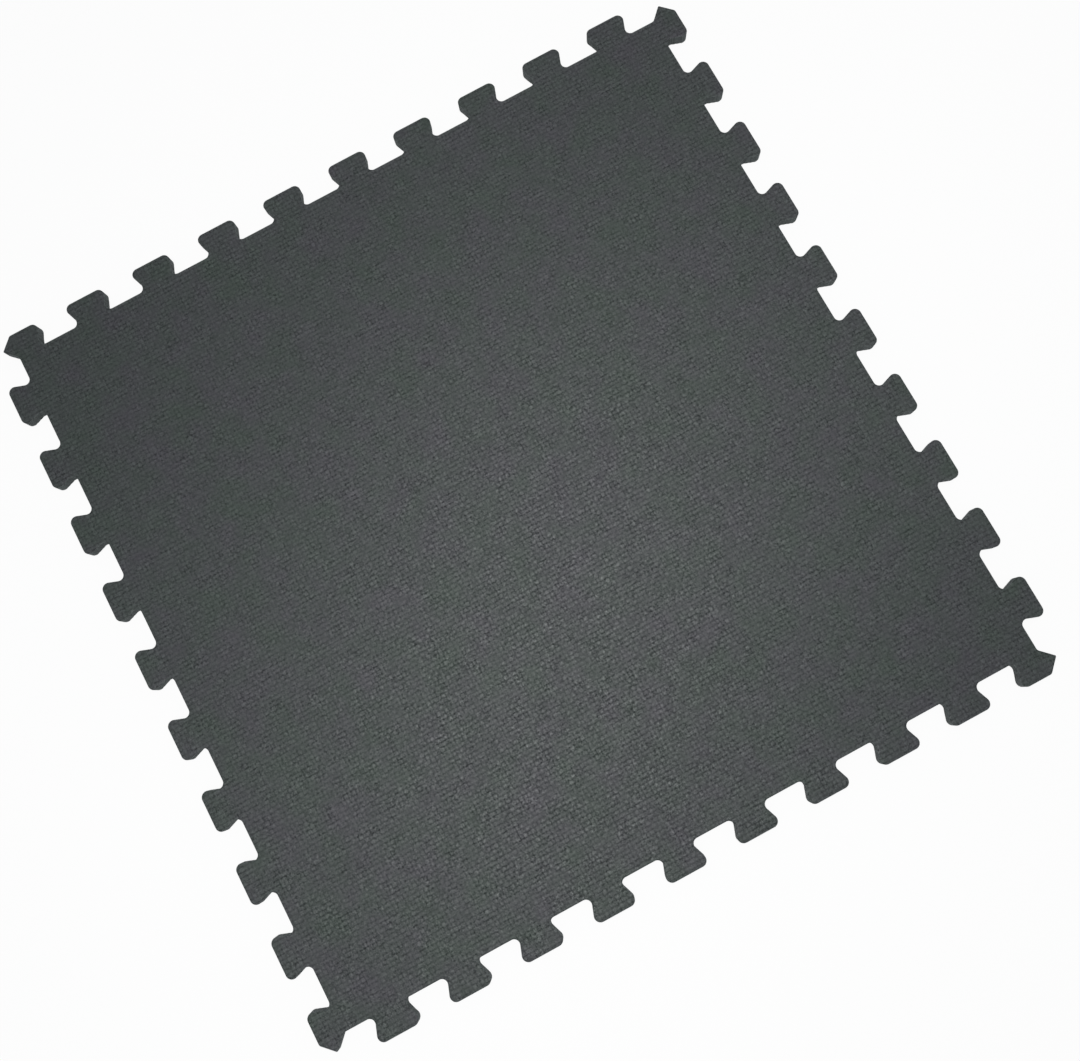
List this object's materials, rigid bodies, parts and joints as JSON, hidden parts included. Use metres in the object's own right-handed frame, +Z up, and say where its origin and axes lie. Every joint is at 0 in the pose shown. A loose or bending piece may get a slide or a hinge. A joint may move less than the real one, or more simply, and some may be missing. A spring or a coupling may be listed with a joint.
{
  "type": "interlocking foam tatami floor mat",
  "caption": "Square closed-cell foam floor mat with a tatami weave embossed on its top, ribs underneath and a jigsaw edge of flared tabs that locks with identical mats.",
  "frame": {"origin": "centre of the mat on the floor plane, under its underside", "axes": "+Z up through the thickness, +X and +Y square to the sides; front side is -Y"},
  "size_m": [0.62, 0.62, 0.01],
  "materials": {
    "foam": "matte embossed foam"
  },
  "bodies": {
    "root": {"mat": "foam"}
  },
  "joints": []
}
